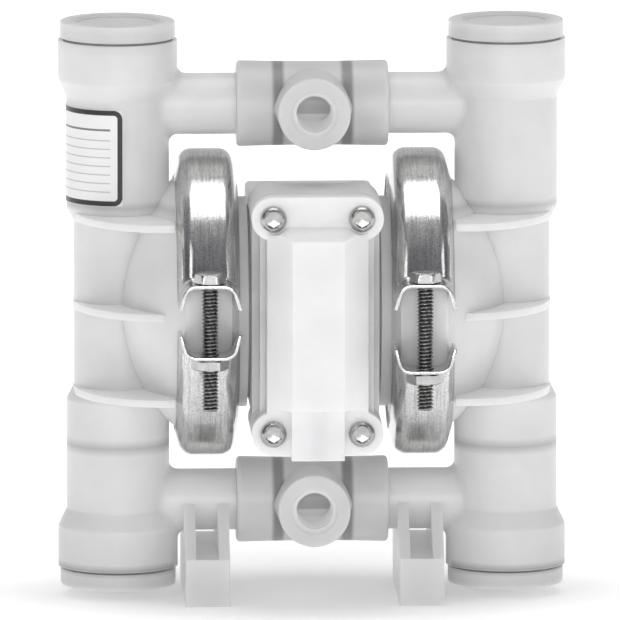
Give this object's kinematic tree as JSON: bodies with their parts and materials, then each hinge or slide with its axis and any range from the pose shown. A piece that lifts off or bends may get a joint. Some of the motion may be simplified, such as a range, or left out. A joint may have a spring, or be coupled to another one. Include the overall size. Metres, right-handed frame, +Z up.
{
  "type": "air operated diaphragm pump",
  "caption": "Small air operated diaphragm pump: plastic liquid chambers on stub feet, steel clamp bands, front air valve, swivelling inlet and discharge tees.",
  "frame": {"origin": "on the floor plane at the centre of the four foot holes, below the middle of the shaft", "axes": "+Z up along the columns, +X to the right seen from the air valve, +Y to the back"},
  "size_m": [0.1472, 0.1316, 0.168],
  "materials": {
    "natural_plastic": "natural polypropylene, satin, slightly milky",
    "valve_plastic": "white moulded plastic, satin",
    "block_plastic": "natural plastic, dull, in the shade of the clamps",
    "clamp_steel": "bright stainless sheet, lightly polished",
    "fastener_steel": "plain stainless, machined",
    "shaft_steel": "ground and polished",
    "piston_plastic": "moulded, dull",
    "seal_rubber": "black, dull",
    "diaphragm_rubber": "black, dull",
    "gasket_rubber": "dark sheet",
    "ball_plastic": "white, smooth",
    "spool_plastic": "dark bearing plastic",
    "silencer_plastic": "porous plastic, rough",
    "label_film": "white film with a black rounded border"
  },
  "bodies": {
    "pump_body": {"left_liquid_chamber": "natural_plastic", "right_liquid_chamber": "natural_plastic", "left_air_chamber": "block_plastic", "right_air_chamber": "block_plastic", "left_diaphragm": "diaphragm_rubber", "right_diaphragm": "diaphragm_rubber", "left_upper_clamp": "clamp_steel", "left_lower_clamp": "clamp_steel", "right_upper_clamp": "clamp_steel", "right_lower_clamp": "clamp_steel", "left_clamp_bolts": "fastener_steel", "right_clamp_bolts": "fastener_steel", "left_clamp_nuts": "fastener_steel", "right_clamp_nuts": "fastener_steel", "left_inlet_cap": "natural_plastic", "left_discharge_cap": "natural_plastic", "right_inlet_cap": "natural_plastic", "right_discharge_cap": "natural_plastic", "cap_seals": "seal_rubber", "seat_seals": "seal_rubber", "inlet_ball_seats": "piston_plastic", "discharge_ball_seats": "piston_plastic", "inlet_tee_seals": "seal_rubber", "discharge_tee_seals": "seal_rubber", "centre_block": "block_plastic", "air_chamber_gaskets": "gasket_rubber", "air_chamber_screws": "fastener_steel", "shaft_bushings": "spool_plastic", "shaft_seals": "seal_rubber", "pilot_sleeve": "spool_plastic", "valve_body": "valve_plastic", "valve_gasket": "gasket_rubber", "valve_screws": "fastener_steel", "spool_sleeve": "spool_plastic", "spool_end_cap": "valve_plastic", "end_cap_seal": "seal_rubber", "exhaust_plate": "block_plastic", "exhaust_plate_gasket": "gasket_rubber", "exhaust_plate_screws": "fastener_steel", "silencer": "silencer_plastic", "air_inlet_bushing": "block_plastic", "column_label": "label_film"},
    "shaft_set": {"main_shaft": "shaft_steel", "left_inner_piston": "piston_plastic", "right_inner_piston": "piston_plastic", "left_outer_piston": "piston_plastic", "right_outer_piston": "piston_plastic"},
    "pilot": {"pilot_spool": "spool_plastic"},
    "valve_spool": {"air_valve_spool": "spool_plastic"},
    "discharge_swivel": {"discharge_tee": "natural_plastic"},
    "inlet_swivel": {"inlet_tee": "natural_plastic"},
    "left_inlet_valve": {"left_inlet_ball": "ball_plastic"},
    "left_discharge_valve": {"left_discharge_ball": "ball_plastic"},
    "right_inlet_valve": {"right_inlet_ball": "ball_plastic"},
    "right_discharge_valve": {"right_discharge_ball": "ball_plastic"}
  },
  "joints": [
    {"name": "shaft_slide", "type": "slide", "parent": "pump_body", "child": "shaft_set", "axis": [1, 0, 0], "range_m": [-0.004, 0.004], "deforming": ["left_diaphragm", "right_diaphragm"]},
    {"name": "pilot_slide", "type": "slide", "parent": "pump_body", "child": "pilot", "axis": [1, 0, 0], "range_m": [-0.0025, 0.0025]},
    {"name": "valve_spool_slide", "type": "slide", "parent": "pump_body", "child": "valve_spool", "axis": [0, 0, 1], "range_m": [0, 0.008]},
    {"name": "discharge_tee_swivel", "type": "hinge", "parent": "pump_body", "child": "discharge_swivel", "pos_m": [0, 0, 0.1435], "axis": [-1, 0, 0], "range_deg": [-15, 195]},
    {"name": "inlet_tee_swivel", "type": "hinge", "parent": "pump_body", "child": "inlet_swivel", "pos_m": [0, 0, 0.0275], "axis": [1, 0, 0], "range_deg": [-15, 195]},
    {"name": "left_inlet_ball_lift", "type": "slide", "parent": "pump_body", "child": "left_inlet_valve", "axis": [0, 0, 1], "range_m": [0, 0.0035]},
    {"name": "left_discharge_ball_lift", "type": "slide", "parent": "pump_body", "child": "left_discharge_valve", "axis": [0, 0, 1], "range_m": [0, 0.0035]},
    {"name": "right_inlet_ball_lift", "type": "slide", "parent": "pump_body", "child": "right_inlet_valve", "axis": [0, 0, 1], "range_m": [0, 0.0035]},
    {"name": "right_discharge_ball_lift", "type": "slide", "parent": "pump_body", "child": "right_discharge_valve", "axis": [0, 0, 1], "range_m": [0, 0.0035]}
  ],
  "couplings": [
    {"joint": "pilot_slide", "follows": "shaft_slide", "ratio": 0.6}
  ]
}
